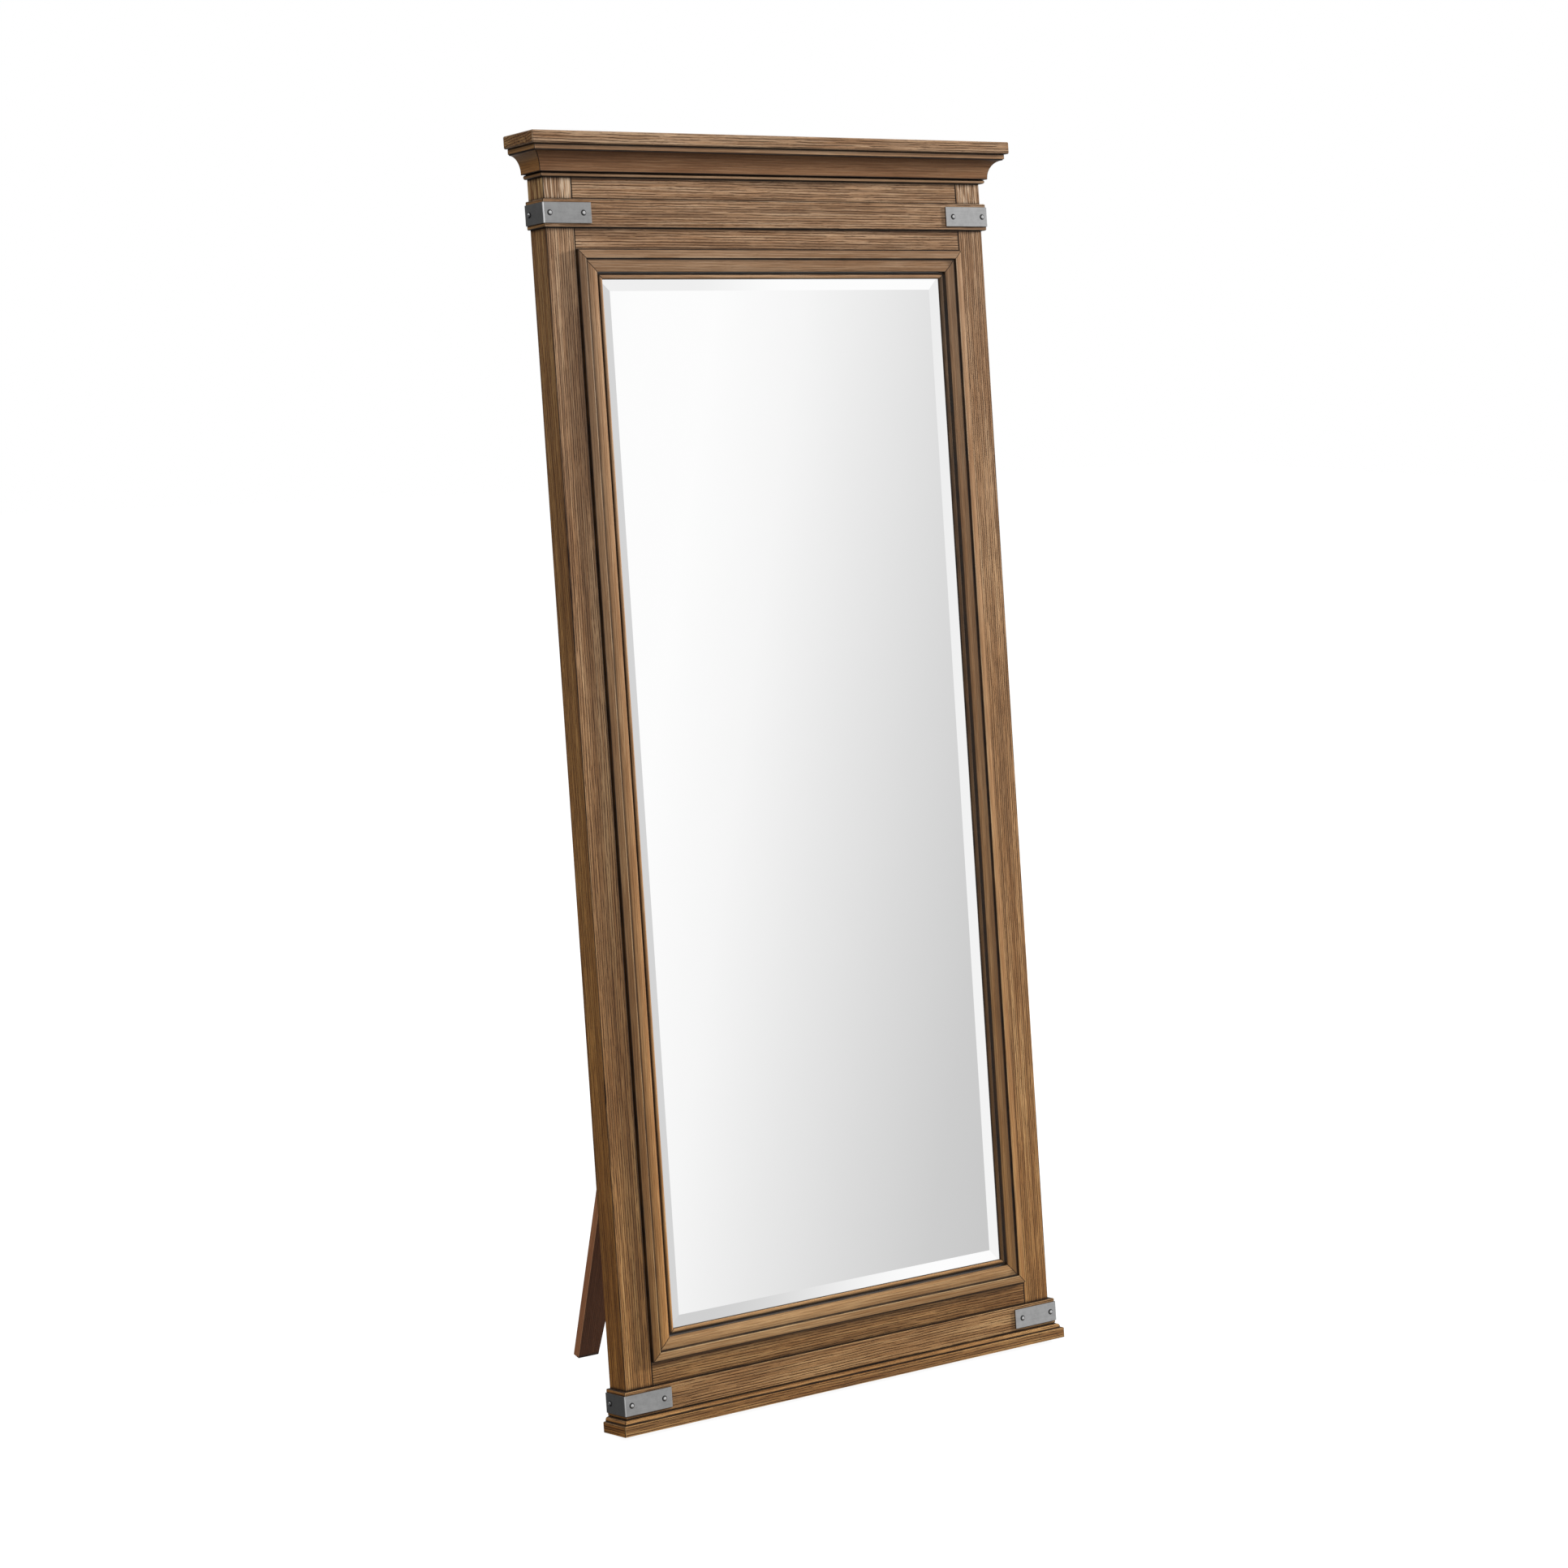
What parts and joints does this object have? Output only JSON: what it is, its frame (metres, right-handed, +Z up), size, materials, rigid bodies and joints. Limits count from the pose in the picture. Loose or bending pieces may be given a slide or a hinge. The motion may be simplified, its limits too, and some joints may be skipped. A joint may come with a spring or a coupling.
{
  "type": "leaning floor mirror",
  "caption": "Tall wood-framed floor mirror that leans back on a folding easel stand, with a crown moulding, bevelled glass and steel corner straps.",
  "frame": {"origin": "on the floor, under the middle of the bounding box, midway between the shoe moulding's front edge and the back of the stand's feet", "axes": "+X to the right of a person facing the mirror, +Y backwards, away from that person, +Z up; the frame leans back 6.25 degrees"},
  "size_m": [0.9296, 0.4176, 1.9768],
  "materials": {
    "stained_wood": "satin brown stain on open-grained oak or ash, dark glaze in the joints",
    "stand_wood": "smooth satin reddish-brown stain",
    "backing_board": "matt brown fibreboard",
    "brushed_steel": "brushed, satin",
    "bright_steel": "polished",
    "hinge_steel": "plated, satin",
    "silvered_glass": "polished, bevelled edge"
  },
  "bodies": {
    "frame": {"back_panel": "backing_board", "belt_front": "stained_wood", "belt_left": "stained_wood", "belt_right": "stained_wood", "bottom_rail": "stained_wood", "crown_cap": "stained_wood", "crown_front": "stained_wood", "crown_left": "stained_wood", "crown_right": "stained_wood", "glass_backing": "backing_board", "hinge_frame_leaf_left": "hinge_steel", "hinge_frame_leaf_right": "hinge_steel", "hinge_pin_left": "hinge_steel", "hinge_pin_right": "hinge_steel", "hinge_rail": "stand_wood", "mirror_glass": "silvered_glass", "neck_bead_front": "stained_wood", "neck_bead_left": "stained_wood", "neck_bead_right": "stained_wood", "plinth_front": "stained_wood", "plinth_left": "stained_wood", "plinth_right": "stained_wood", "post_left": "stained_wood", "post_right": "stained_wood", "screw_lower_left_post": "bright_steel", "screw_lower_left_rail": "bright_steel", "screw_lower_left_side": "bright_steel", "screw_lower_right_post": "bright_steel", "screw_lower_right_rail": "bright_steel", "screw_lower_right_side": "bright_steel", "screw_upper_left_post": "bright_steel", "screw_upper_left_rail": "bright_steel", "screw_upper_left_side": "bright_steel", "screw_upper_right_post": "bright_steel", "screw_upper_right_rail": "bright_steel", "screw_upper_right_side": "bright_steel", "shoe_front": "stained_wood", "shoe_left": "stained_wood", "shoe_right": "stained_wood", "strap_lower_left": "brushed_steel", "strap_lower_right": "brushed_steel", "strap_upper_left": "brushed_steel", "strap_upper_right": "brushed_steel", "surround_bottom": "stained_wood", "surround_left": "stained_wood", "surround_right": "stained_wood", "surround_top": "stained_wood", "top_rail": "stained_wood"},
    "stand": {"easel_leg_left": "stand_wood", "easel_leg_right": "stand_wood", "easel_stretcher": "stand_wood", "easel_top_rail": "stand_wood", "hinge_leg_leaf_left": "hinge_steel", "hinge_leg_leaf_right": "hinge_steel"}
  },
  "joints": [
    {"name": "stand_fold", "type": "hinge", "parent": "frame", "child": "stand", "pos_m": [0, -0.04093, 0.96384], "axis": [-1, 0, 0], "range_deg": [0, 19.5]}
  ]
}
